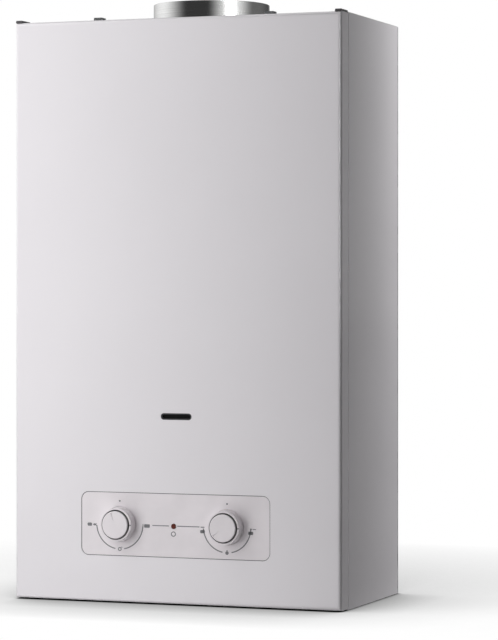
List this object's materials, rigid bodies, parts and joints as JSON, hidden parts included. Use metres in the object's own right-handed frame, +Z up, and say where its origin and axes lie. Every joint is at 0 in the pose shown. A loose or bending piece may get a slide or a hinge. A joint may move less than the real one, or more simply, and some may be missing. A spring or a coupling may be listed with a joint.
{
  "type": "gas water heater",
  "caption": "Wall-hung instantaneous gas water heater: white sheet casing, round steel flue collar, two front knobs, a sight window, and a cover that tilts off its burner and valves.",
  "frame": {"origin": "under the middle of the heater, level with the feet of the side panels, halfway between the face of the knobs and the wall", "axes": "+X to the right of someone facing the heater, +Y back to the wall, +Z up"},
  "size_m": [0.352, 0.198, 0.61],
  "materials": {
    "white_enamel": "smooth stove enamel, semi-gloss",
    "white_plastic": "fine satin",
    "black_plastic": "satin",
    "lens_plastic": "clear dark red, glossy",
    "lamp_glass": "tinted",
    "glass": "smoked, heat resisting",
    "bright_steel": "bright, faintly drawn",
    "galvanised_steel": "galvanised",
    "aluminised_steel": "aluminised, dull",
    "spring_steel": "ground",
    "copper": "drawn copper, slightly dulled",
    "brass": "machined",
    "cast_aluminium": "die cast",
    "rubber": "moulded",
    "porcelain": "white glaze",
    "nylon": "moulded",
    "cell_jacket": "plain jacket",
    "lead_sleeve": "silicone sleeve",
    "valve_ink": "moulded"
  },
  "bodies": {
    "chassis": {"cover_clips": "nylon", "bottom_rail": "galvanised_steel", "side_panel_left": "white_enamel", "side_panel_right": "white_enamel", "top_panel": "white_enamel", "back_plate": "galvanised_steel", "base_tray": "galvanised_steel", "chassis_screws": "spring_steel", "lamp": "lamp_glass", "flue_collar": "bright_steel", "draught_hood": "aluminised_steel", "hood_baffle": "aluminised_steel", "limit_switches": "valve_ink", "fin_block": "copper", "exchanger_tubes": "copper", "combustion_chamber": "copper", "chamber_coil": "copper", "chamber_bracket": "galvanised_steel", "burner_frame": "galvanised_steel", "burner_blades": "aluminised_steel", "gas_manifold": "cast_aluminium", "injectors": "brass", "electrode_insulators": "porcelain", "electrode_rods": "spring_steel", "gas_valve_body": "cast_aluminium", "poppet_spring": "spring_steel", "solenoid": "galvanised_steel", "switch_bracket": "galvanised_steel", "microswitch": "valve_ink", "water_valve_cover": "brass", "diaphragm": "rubber", "water_valve_body": "brass", "valve_screws": "spring_steel", "drain_plug": "nylon", "inlet_filter": "nylon", "pipe_fittings": "brass", "backnuts": "brass", "hot_water_pipe": "copper", "cold_feed_pipe": "copper", "ignition_box": "valve_ink", "battery_box": "valve_ink", "batteries": "cell_jacket", "leads": "lead_sleeve"},
    "front_cover": {"front_cover": "white_enamel", "cover_hooks": "spring_steel", "corner_caps": "black_plastic", "control_fascia": "white_plastic", "lamp_lens": "lens_plastic", "window_bezel": "black_plastic", "window_pane": "glass"},
    "gas_knob": {"gas_knob": "white_plastic", "gas_spindle": "brass"},
    "temperature_knob": {"temperature_knob": "white_plastic", "temperature_spindle": "brass"},
    "flow_needle": {"flow_needle": "brass"},
    "push_rod": {"push_rod": "brass"},
    "gas_poppet": {"gas_poppet": "rubber"},
    "microswitch_lever": {"microswitch_lever": "spring_steel"},
    "solenoid_plunger": {"solenoid_plunger": "spring_steel"},
    "battery_door": {"battery_door": "black_plastic"}
  },
  "joints": [
    {"name": "front_cover_tilt", "type": "hinge", "parent": "chassis", "child": "front_cover", "pos_m": [0, -0.064, 0.589], "axis": [-1, 0, 0], "range_deg": [0, 40]},
    {"name": "gas_knob_turn", "type": "hinge", "parent": "chassis", "child": "gas_knob", "pos_m": [-0.0598, -0.09, 0.0795], "axis": [0, -1, 0], "range_deg": [-17, 253]},
    {"name": "temperature_knob_turn", "type": "hinge", "parent": "chassis", "child": "temperature_knob", "pos_m": [0.0562, -0.09, 0.0795], "axis": [0, -1, 0], "range_deg": [-130, 140]},
    {"name": "flow_needle_slide", "type": "slide", "parent": "chassis", "child": "flow_needle", "axis": [0, 1, 0], "range_m": [-0.00193, 0.00208]},
    {"name": "diaphragm_lift", "type": "slide", "parent": "chassis", "child": "push_rod", "axis": [-1, 0, 0], "range_m": [0, 0.004], "stiffness_N_per_m": 400, "springref_m": -0.005},
    {"name": "gas_poppet_lift", "type": "slide", "parent": "chassis", "child": "gas_poppet", "axis": [-1, 0, 0], "range_m": [0, 0.0041], "deforming": ["poppet_spring"]},
    {"name": "microswitch_lever_swing", "type": "hinge", "parent": "chassis", "child": "microswitch_lever", "pos_m": [0.0068, -0.006, 0.111], "axis": [0, 1, 0], "range_deg": [0, 9.2]},
    {"name": "solenoid_plunger_slide", "type": "slide", "parent": "chassis", "child": "solenoid_plunger", "axis": [-1, 0, 0], "range_m": [0, 0.003], "stiffness_N_per_m": 300, "springref_m": -0.004},
    {"name": "battery_door_swing", "type": "hinge", "parent": "chassis", "child": "battery_door", "pos_m": [0.1268, 0.008, 0.0407], "axis": [0, 1, 0], "range_deg": [0, 90]}
  ],
  "couplings": [
    {"joint": "temperature_knob_turn", "follows": "flow_needle_slide", "rad_per_m": 1176.5},
    {"joint": "gas_poppet_lift", "follows": "diaphragm_lift", "ratio": 1},
    {"joint": "microswitch_lever_swing", "follows": "diaphragm_lift", "rad_per_m": 39.2}
  ]
}
